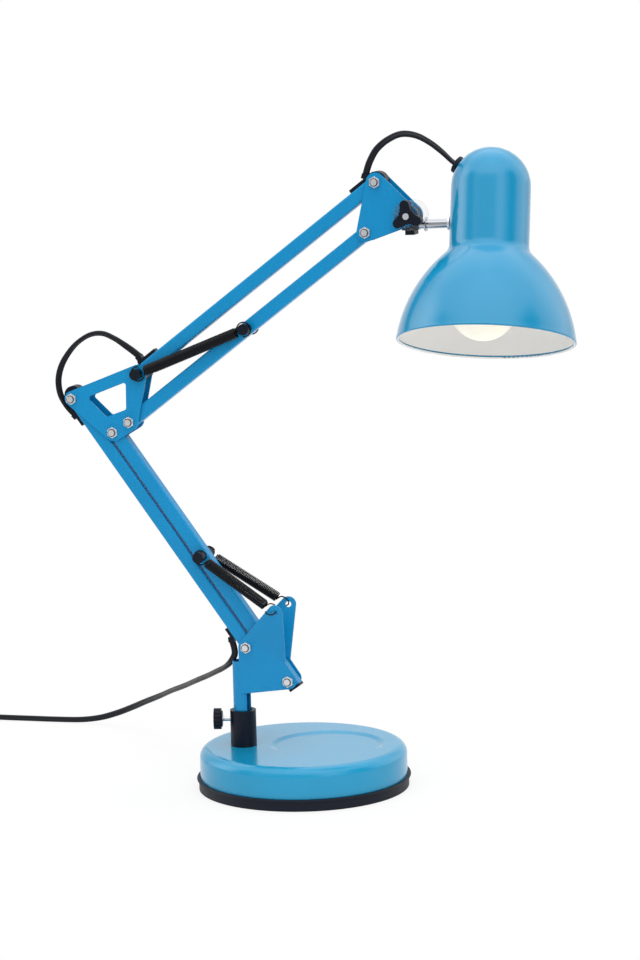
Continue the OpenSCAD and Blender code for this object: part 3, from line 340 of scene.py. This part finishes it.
FINISHES = (
    (base_paint_with_painted_light, ("base_shell",)),
    (arm_paint, ("bracket", "lower_front_bar", "lower_rear_bar", "elbow_near_plate", "elbow_far_plate",
                 "upper_top_bar", "upper_bottom_bar", "head_near_plate", "head_far_plate")),
    (shade_finish, ("shade",)),
    (plastic, ("collar", "thumb_knob", "lower_cord_guides", "lower_end_plugs", "lower_pin_caps",
               "elbow_pin_caps", "upper_cord_guides", "upper_end_plugs", "upper_pin_caps", "wing_knob",
               "swivel_block", "lamp_holder", "coil_tie")),
    (plug_finish, ("mains_plug",)),
    (rubber, ("rubber_foot", "cord_grommet")),
    (cord_skin, ("lower_cord_run", "upper_cord_run", "elbow_cord", "head_cord", "mains_cord", "mains_coil")),
    (spring_black, ("lower_near_spring", "lower_far_spring", "upper_near_spring", "upper_far_spring")),
    (zinc, ("collar_screw", "thumb_stud", "bracket_bolts", "bracket_nuts", "lower_spring_pin", "elbow_bolts",
            "elbow_nuts", "elbow_spring_pin", "upper_spring_pin", "head_bolts", "head_nuts", "wing_bolt",
            "stub_nuts")),
    (chrome, ("stub",)),
    (iron, ("base_weight",)),
    (strap_zinc, ("holder_bracket",)),
    (cap_metal, ("bulb_cap",)),
    (glass_with_painted_glow, ("bulb",)),
    (clear, ("head_washers",)),
)
for material, names in FINISHES:
    for name in names:
        nodes[name].data.materials.clear()
        nodes[name].data.materials.append(material)


# The turned forms are shaded smooth
SMOOTH_ANGLE = math.radians(32)
WELD = 0.001


def smooth_group():
    """Joins the faces of a CAD mesh and shades them smooth across shallow edges."""
    group = bpy.data.node_groups.new("smooth_by_angle", "GeometryNodeTree")
    for way in ("INPUT", "OUTPUT"):
        group.interface.new_socket("Geometry", in_out=way, socket_type="NodeSocketGeometry")
    angle = add(group, "GeometryNodeInputMeshEdgeAngle").outputs["Unsigned Angle"]
    sharp = add(group, "FunctionNodeCompare", {0: angle, 1: SMOOTH_ANGLE}, operation="GREATER_THAN")
    steps = (
        ("RemoveAttribute", {"Name": "custom_normal"}, {}),
        ("MergeByDistance", {"Distance": WELD * MM}, {}),
        ("SetShadeSmooth", {"Shade Smooth": True}, {}),
        ("SetShadeSmooth", {"Shade Smooth": False, "Selection": sharp.outputs["Result"]}, {"domain": "EDGE"}),
    )
    mesh = add(group, "NodeGroupInput").outputs["Geometry"]
    for kind, inputs, settings in steps:
        mesh = add(group, "GeometryNode" + kind, {"Geometry": mesh, **inputs}, **settings).outputs["Geometry"]
    add(group, "NodeGroupOutput", {"Geometry": mesh})
    return group


smooth_by_angle = smooth_group()
for name in ("shade", "bulb"):
    nodes[name].modifiers.new("smooth_by_angle", "NODES").node_group = smooth_by_angle


# Mesh helpers

def mesh_piece(name, points, faces, material):
    mesh = bpy.data.meshes.new(name)
    mesh.from_pydata([tuple(p) for p in points], [], faces)
    mesh.validate()
    mesh.polygons.foreach_set("use_smooth", [True] * len(mesh.polygons))
    mesh.materials.append(material)
    mesh.update()
    piece = bpy.data.objects.new(name, mesh)
    bpy.context.scene.collection.objects.link(piece)
    return piece


def eased(s):
    s = min(max(s, 0), 1)
    return s * s * (3 - 2 * s)


def spline(points, steps):
    """Smooth curve through route points, with a number of steps between each two."""
    last = len(points) - 1
    curve = []
    for i in range(last):
        a, b, c, d = points[max(i - 1, 0)], points[i], points[i + 1], points[min(i + 2, last)]
        for k in range(steps):
            s = k / steps
            curve.append(0.5 * (2 * b + (c - a) * s + (2 * a - 5 * b + 4 * c - d) * s * s
                                + (3 * b - a - 3 * c + d) * s * s * s))
    return curve + [points[last]]


def carried_frames(path, side):
    """Thin and wide directions along a path, carried without twisting."""
    frames = []
    for before, after in zip(path[:1] + path[:-1], path[1:] + path[-1:]):
        tangent = (after - before).normalized()
        side = (side - side.dot(tangent) * tangent).normalized()
        frames.append((side, tangent.cross(side)))
    return frames


def ring_faces(rings, sides, base=0, closed=False):
    """Faces between rings of points that follow each other, and back to the first where closed."""
    faces = []
    for i in range(rings if closed else rings - 1):
        j = (i + 1) % rings
        for k in range(sides):
            m = (k + 1) % sides
            corners = (i * sides + k, j * sides + k, j * sides + m, i * sides + m)
            faces.append(tuple(base + corner for corner in corners))
    return faces


def sweep(name, path, side, section, material, rolls=None):
    """One tube: the section's (thin, wide) points at each point of the path, rolled about it by rolls."""
    points = []
    for p, (n, b), roll in zip(path, carried_frames(path, Vector(side)), rolls or [0] * len(path)):
        thin = n * math.cos(roll) + b * math.sin(roll)
        wide = b * math.cos(roll) - n * math.sin(roll)
        points += [p + thin * u + wide * v for u, v in section]
    sides = len(section)
    faces = ring_faces(len(path), sides)
    faces.append(tuple(range(sides)))
    faces.append(tuple(reversed(range(len(points) - sides, len(points)))))
    return mesh_piece(name, points, faces, material)


def runs_of(path):
    """Length of a path up to each of its points."""
    runs = [0]
    for a, b in zip(path, path[1:]):
        runs.append(runs[-1] + (b - a).length)
    return runs


# Cords: one flat twin lead, cut at the joints that it crosses
CORD_WIDTH = 5.4
CORD_THICK = 3.2
CORE_SIDES = 11
CORD_STEPS = 12
# Routes of the loops, measured from the foot of the post
ELBOW_ROUTE = [(-136.8, 0, 303), (-140.2, 0, 306.5), (-144.4, 0, 311.6), (-148, 0, 319), (-149.2, 0, 329),
               (-147.2, 0, 339), (-142, 0, 349), (-133, 0, 359.5), (-121.5, 0, 366.8), (-110.3, 0, 368.3),
               (-100, 0, 364.4), (-91.7, 0, 359.3), (-85.4, 0, 355), (-80, 0, 350.9)]
HEAD_ROUTE = [(113, 0, 495.2), (114.4, 0, 499.9), (117, 0, 506), (122, 0.2, 514), (130.5, 1, 521),
              (141, 3, 525.3), (152, 6, 523.9), (162, 9.4, 518.3), (170.6, 12.7, 511),
              (177.85, 14.95, 503.65), (181.8, 14.2, 501.25)]
# Route of the mains lead, measured from the middle of the base
MAINS_ROUTE = [(-54, -11.7, 118.9), (-52.7, -11.7, 113.8), (-52.6, -11.3, 108.8), (-55.5, -9.6, 103.8),
               (-59.8, -6, 99.3), (-67, 2, 94), (-77, 14, 88.2), (-91.3, 33, 79.9), (-109.5, 56, 70),
               (-129, 83, 59), (-150, 110, 48), (-170, 134, 37), (-189, 151, 27.5), (-206, 162.5, 19),
               (-223, 169.5, 11.5), (-240, 172.5, 6), (-258, 173, 3.3), (-280, 172, 2.8), (-305, 171, 2.8),
               (-335, 170.3, 2.8), (-365, 170, 3.3), (-386, 170, 3.8), (-391.7, 170, 3.8)]
# How far the flat lead is rolled about its own line: shares of its length, and degrees
ELBOW_ROLLS = ((0, 0), (0.02, 0), (0.1, 60), (0.3, 48), (0.56, 75), (0.78, 45), (0.96, 0), (1, 0))
HEAD_ROLLS = ((0, 0), (0.15, 0), (0.45, -28), (0.7, -44), (0.92, -64), (1, -66))
MAINS_ROLLS = ((0, 0), (0.02, 0), (0.08, 78), (0.4, 78), (0.75, 0), (1, 0))
# Where a joint starts and stops turning its piece of cord, so that the flat lead keeps its body when it bends
HEAD_BLENDS = (((65.4, -11.2, 495.9), (65.4, -8.3, 519.4)),
               ((86.5, -11.4, 520.2), (97.6, -16.3, 512.7)),
               ((114.6, -1.8, 517.9), (117.1, 8, 505)))
MAINS_BLENDS = (None, ((-67.8, 2.9, 93.5), (-179.7, 143.3, 32.1)))


def twin_section(width, thick, count):
    """Two round cores side by side, as (thin, wide) points."""
    radius = thick / 2
    core = width / 2 - radius
    reach = math.acos(-core / radius)
    half = [(radius * math.sin(a), core + radius * math.cos(a))
            for a in [-reach + 2 * reach * k / count for k in range(count)]]
    return half + [(-u, -v) for u, v in half]


SECTION = [(u * MM, v * MM) for u, v in twin_section(CORD_WIDTH, CORD_THICK, CORE_SIDES)]


def rolled(share, marks):
    """Angle at a share of a length, eased between the marks around it."""
    for (a, first), (b, second) in zip(marks, marks[1:]):
        if share <= b:
            return math.radians(first + (second - first) * eased((share - a) / (b - a)))
    return math.radians(marks[-1][1])


def parted(runs, shares):
    """First and last point of each piece of a path that is cut at shares of its length."""
    cuts = [next(i for i, run in enumerate(runs) if run >= share * runs[-1]) for share in shares]
    return list(zip([0] + cuts, cuts + [len(runs) - 1]))


def cord_pieces(node, names, bodies, route, origin, into, shares, roll_marks, blends=(None, None)):
    """A cord over one or more joints, swept as one tube piece for each part between its cuts.
    into is how far its two ends reach into what they leave and enter.
    blends is not used."""
    path = spline([(Vector(p) + origin) * MM for p in route], CORD_STEPS)
    path.insert(0, path[0] - (path[1] - path[0]).normalized() * into[0] * MM)
    path.append(path[-1] + (path[-1] - path[-2]).normalized() * into[1] * MM)
    frames = carried_frames(path, Vector((0, 1, 0)))
    runs = runs_of(path)
    rolls = [rolled(run / runs[-1], roll_marks) for run in runs]
    for name, (first, last), pair, blend in zip(names, parted(runs, shares), bodies, blends):
        part = path[first:last + 1]
        piece = sweep(name, part, frames[first][0], SECTION, cord_skin, rolls[first:last + 1])
        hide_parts(node)
        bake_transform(piece)


cord_pieces("elbow_cord", ("elbow_cord_low", "elbow_cord_high"),
            (("lower_front", "elbow"), ("elbow", "upper_top")),
            ELBOW_ROUTE, POST, into=(2, 2), shares=(0.52,), roll_marks=ELBOW_ROLLS)
cord_pieces("head_cord", ("head_cord_arm", "head_cord_tilt", "head_cord_shade"),
            (("upper_top", "head"), ("head", "swivel"), ("swivel", "shade")),
            HEAD_ROUTE, POST, into=(3, 4.5), shares=(0.35, 0.677), roll_marks=HEAD_ROLLS,
            blends=HEAD_BLENDS)
cord_pieces("mains_cord", ("mains_cord_arm", "mains_cord_free"),
            (("lower_front", "bracket"), ("bracket", "base")),
            MAINS_ROUTE, Vector(), into=(2, 0.3), shares=(0.085,), roll_marks=MAINS_ROLLS,
            blends=MAINS_BLENDS)

# The length that the view doesn't reach, put away in a tied coil with its plug
COIL_TURNS = 7
COIL_STEPS = 48
COIL_START = 90
COIL_RADIUS = 38
COIL_PITCH = 3.8
COIL_RISE = 6.0
COIL_CENTRE = Vector((-392, 132, 3.8))
COIL_TAIL = [(-9, 0, 0), (-18, 0, -0.4), (-27, 0, -0.9), (-34, 0, -0.9)]
TAIL_STEPS = 3


def coil_point(turn):
    """The lead winds inwards on the table, climbs half way to a second layer, and winds outwards again."""
    back = abs(turn - COIL_TURNS / 2)
    radius = COIL_RADIUS - COIL_PITCH * (COIL_TURNS / 2 - back + eased(1.5 - 2 * back) / 2)
    climb = COIL_RISE * eased((turn - COIL_TURNS / 2) * 2 + 0.5)
    angle = math.radians(COIL_START + 360 * turn)
    return COIL_CENTRE + Vector((radius * math.cos(angle), radius * math.sin(angle), climb))


def make_coil():
    path = [coil_point(i / COIL_STEPS) for i in range(COIL_TURNS * COIL_STEPS + 1)]
    end = path[-1]
    path += spline([end] + [end + Vector(t) for t in COIL_TAIL], TAIL_STEPS)[1:]
    path = [p * MM for p in path]
    coil = sweep("mains_coil_loops", path, (0, 1, 0), SECTION, cord_skin)
    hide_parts("mains_coil")
    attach(coil, "base")


make_coil()

# Springs: close-wound wire with a round hook at each end, on the anchors of the CAD springs
WIRE = 1.1
WIRE_SIDES = 8
WIRE_SIDE = (0, 0.3, 1)
SPRING_OUTSIDE = 8.6
LOWER_CURLS = 52
UPPER_CURLS = 72
CURL_STEPS = 18
SWELL_CURLS = 1.4
HOOK_ARC = 300
HOOK_STEPS = 30
HOOK_Y = 10.3
PIN_RING = 5.8
PIN_SHIFT = 0.85
TAB_RING = 4.7
TAB_TILT = 32
TAB_HOLE = (35.207, 17.888, 147.82)


def round_section(diameter, sides):
    turns = [2 * math.pi * k / sides for k in range(sides)]
    return [(diameter / 2 * math.cos(a), diameter / 2 * math.sin(a)) for a in turns]


def hook_point(centre, ring, tilt, angle):
    angle, tilt = math.radians(angle), math.radians(tilt)
    across = ring * math.sin(angle)
    return Vector((across * math.cos(tilt), across * math.sin(tilt), centre - ring * math.cos(angle)))


def spring_path(a, b, shift_b, ring_b, tilt_b, curls):
    """Wire between two anchors: a hook, curls that swell from the axis and close on it again, and a hook."""
    length = (b - a).length
    low, high = PIN_SHIFT + PIN_RING, length - shift_b - ring_b
    turns = [k * HOOK_ARC / HOOK_STEPS for k in range(HOOK_STEPS + 1)]
    points = [hook_point(PIN_SHIFT, PIN_RING, 0, 180 - HOOK_ARC + turn) for turn in turns[:-1]]
    for k in range(curls * CURL_STEPS + 1):
        s = k / CURL_STEPS
        radius = (SPRING_OUTSIDE - WIRE) / 2 * eased(min(s, curls - s) / SWELL_CURLS)
        angle = math.radians(180 + (360 * curls + tilt_b) * s / curls)
        rise = low + (high - low) * s / curls
        points.append(Vector((radius * math.cos(angle), radius * math.sin(angle), rise)))
    for turn in turns[1:]:
        x, y, z = hook_point(shift_b, ring_b, tilt_b, 180 + turn)
        points.append(Vector((x, y, length - z)))
    along = (b - a).normalized()
    across = (Vector((0, 1, 0)) - along.y * along).normalized()
    third = across.cross(along)
    return [(a + p.x * third + p.y * across + p.z * along) * MM for p in points]


def make_spring(node, a, b, shift_b, ring_b, tilt_b, curls):
    """One spring from the pin a on the first body to the anchor b on the second."""
    path = spring_path(a, b, shift_b, ring_b, tilt_b, curls)
    wire = round_section(WIRE * MM, WIRE_SIDES)
    piece = sweep(f"{node}_wound", path, WIRE_SIDE, wire, spring_black)
    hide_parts(node)
    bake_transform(piece)


for side, name in ((-1, "near"), (1, "far")):
    across = Vector((0, side * HOOK_Y, 0))
    tab_hole = POST + Vector((TAB_HOLE[0], side * TAB_HOLE[1], TAB_HOLE[2]))
    make_spring(f"lower_{name}_spring", LOWER_PIN + across, tab_hole,
                TAB_RING, TAB_RING, side * TAB_TILT, LOWER_CURLS)
    make_spring(f"upper_{name}_spring", ELBOW_PIN + across, UPPER_PIN + across,
                PIN_SHIFT, PIN_RING, 0, UPPER_CURLS)

# Lock rings of the nuts: radius, and distance behind the nut's near face
RING_SECTION = [(2.62, 0.02), (2.75, -0.22), (3.15, -0.22), (3.3, 0.02)]
RING_STEPS = 36


def nut_rings(body, pivots):
    points, faces = [], []
    for p in pivots:
        faces += ring_faces(RING_STEPS, len(RING_SECTION), base=len(points), closed=True)
        for k in range(RING_STEPS):
            angle = 2 * math.pi * k / RING_STEPS
            points += [Vector((p.x + r * math.cos(angle), NUT_FACE_Y + h, p.z - r * math.sin(angle))) * MM
                       for r, h in RING_SECTION]
    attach(mesh_piece(f"{body}_nut_rings", points, faces, nylon), body)


nut_rings("bracket", (FRONT_FOOT, REAR_FOOT))
nut_rings("elbow", (FRONT_TOP, REAR_TOP, BOTTOM_ROOT))
nut_rings("head", (TOP_TIP, BOTTOM_TIP))

# Floor
WHITE = (1, 1, 1, 1)
FLOOR_COLOUR = (0.9, 0.9, 0.9, 1)
FLOOR_ROUGHNESS = 0.9
FLOOR_RADIUS = 1400
FLOOR_SIDES = 96
FLOOR_Z = -0.3
# The floor's share of plain white grows between two distances from the middle of the base
FADE_START = 100
FADE_END = 600
FADE_LEAST = 0.82


def floor_material():
    material, tree, bsdf, place = new_material("floor")
    bsdf.inputs["Base Color"].default_value = FLOOR_COLOUR
    bsdf.inputs["Roughness"].default_value = FLOOR_ROUGHNESS
    bsdf.inputs["Specular IOR Level"].default_value = 0.0
    glow = add(tree, "ShaderNodeEmission", {"Color": WHITE, "Strength": 1.0})
    ray = add(tree, "ShaderNodeLightPath").outputs
    seen = maths(tree, "ADD", ray["Is Camera Ray"], ray["Is Glossy Ray"])
    seen = maths(tree, "ADD", seen, ray["Is Transmission Ray"], clamped=True)
    radius = vector_maths(tree, "LENGTH", place, result="Value")
    white = spread(tree, radius, FADE_LEAST, 1.0, FADE_START * MM, FADE_END * MM, "SMOOTHSTEP")
    share = maths(tree, "MULTIPLY", seen, white)
    mix = add(tree, "ShaderNodeMixShader", {0: share, 1: bsdf.outputs["BSDF"], 2: glow.outputs["Emission"]})
    tree.links.new(mix.outputs["Shader"], tree.nodes["Material Output"].inputs["Surface"])
    return material


def make_floor():
    """A pale round table top, which keeps the lamp's shadow and turns to the backdrop's white at its edge."""
    turns = [2 * math.pi * k / FLOOR_SIDES for k in range(FLOOR_SIDES)]
    edge = [Vector((FLOOR_RADIUS * math.cos(a), FLOOR_RADIUS * math.sin(a), FLOOR_Z)) * MM for a in turns]
    mesh = bpy.data.meshes.new("floor")
    mesh.from_pydata([tuple(p) for p in edge], [], [tuple(range(FLOOR_SIDES))])
    mesh.materials.append(floor_material())
    floor = bpy.data.objects.new("floor", mesh)
    bpy.context.scene.collection.objects.link(floor)


make_floor()

# World: what a mirror sees at each turn to the right of the front, in degrees, and how bright it is there
WALLS = [(-180, 0.31), (-135, 0.25), (-102, 0.95), (-90, 0.75), (-78, 0.15), (-66, 0.14), (-54, 0.33),
         (-34, 0.19), (-10, 0.14), (8, 0.18), (26, 0.56), (38, 0.54), (50, 0.28), (64, 0.04), (76, 0.1),
         (88, 0.45), (110, 0.58), (125, 0.53), (145, 0.3), (180, 0.31)]
BELOW = [(-180, 0.31), (-110, 0.31), (-80, 0.16), (80, 0.16), (110, 0.31), (180, 0.31)]
CEILING = [(-180, 0.62), (-100, 0.5), (-40, 0.62), (40, 0.62), (100, 0.5), (180, 0.62)]
# Heights, as the sine of the angle above the table, between which one passes into the next
WALL_FOOT = (0.02, 0.14)
WALL_TOP = (0.53, 0.76)
ROOM_STRENGTH = 3.2
FILL_STRENGTH = 0.6


def ramp_of(tree, turn, stops):
    ramp = add(tree, "ShaderNodeValToRGB", {"Fac": turn})
    marks = ramp.color_ramp.elements
    while len(marks) < len(stops):
        marks.new(0.5)
    for mark, (angle, level) in zip(marks, stops):
        mark.position = (angle + 180) / 360
        mark.color = (level, level, level, 1)
    return ramp.outputs["Color"]


def room_colour(tree):
    """White walls with dark gaps, a ceiling, and a dim room below in front."""
    toward = add(tree, "ShaderNodeTexCoord").outputs["Generated"]
    front = vector_maths(tree, "DOT_PRODUCT", toward, tuple(-AWAY), "Value")
    right = vector_maths(tree, "DOT_PRODUCT", toward, tuple(RIGHT), "Value")
    turn = spread(tree, maths(tree, "ARCTAN2", right, front), 0, 1, -math.pi, math.pi)
    height = add(tree, "ShaderNodeSeparateXYZ", {"Vector": toward}).outputs["Z"]
    above = spread(tree, height, 0, 1, *WALL_FOOT, "SMOOTHSTEP")
    room = blended(tree, above, ramp_of(tree, turn, BELOW), ramp_of(tree, turn, WALLS))
    high = spread(tree, height, 0, 1, *WALL_TOP, "SMOOTHSTEP")
    return blended(tree, high, room, ramp_of(tree, turn, CEILING))


def make_world():
    """White to the camera, a room to mirrors, and an even fill to everything else."""
    world = bpy.data.worlds.new("studio")
    bpy.context.scene.world = world
    world.use_nodes = True
    tree = world.node_tree
    tree.nodes.clear()
    fill, room, white = [
        add(tree, "ShaderNodeBackground", {"Color": colour, "Strength": strength}).outputs["Background"]
        for colour, strength in ((WHITE, FILL_STRENGTH), (room_colour(tree), ROOM_STRENGTH), (WHITE, 1.0))]
    ray = add(tree, "ShaderNodeLightPath").outputs
    mirrored = maths(tree, "ADD", ray["Is Glossy Ray"], ray["Is Transmission Ray"], clamped=True)
    mix = add(tree, "ShaderNodeMixShader", {0: mirrored, 1: fill, 2: room}).outputs["Shader"]
    mix = add(tree, "ShaderNodeMixShader", {0: ray["Is Camera Ray"], 1: mix, 2: white}).outputs["Shader"]
    add(tree, "ShaderNodeOutputWorld", {"Surface": mix})


make_world()

# Softboxes: turn to the right of the camera, rise above the table, distance, width, height and radiance
AIM = Vector((20, 0, 300))
SOFTBOXES = {"front_softbox": (-6, 36, 2300, 3800, 1900, 0.85),
             "top_softbox": (60, 82, 2100, 2600, 2400, 1.8)}


def softbox(name, turn, rise, distance, width, height, radiance):
    turn, rise = math.radians(turn), math.radians(rise)
    toward = math.cos(rise) * (math.sin(turn) * RIGHT - math.cos(turn) * AWAY) + math.sin(rise) * UP
    data = bpy.data.lights.new(name, "AREA")
    data.shape = "RECTANGLE"
    data.size = width * MM
    data.size_y = height * MM
    data.energy = radiance * math.pi * data.size * data.size_y
    light = bpy.data.objects.new(name, data)
    bpy.context.scene.collection.objects.link(light)
    light.location = (AIM + distance * toward) * MM
    light.rotation_euler = (-toward).to_track_quat("-Z", "Y").to_euler()
    light.visible_camera = False
    light.visible_glossy = False


for name, values in SOFTBOXES.items():
    softbox(name, *values)

bpy.context.scene.view_settings.view_transform = "Standard"
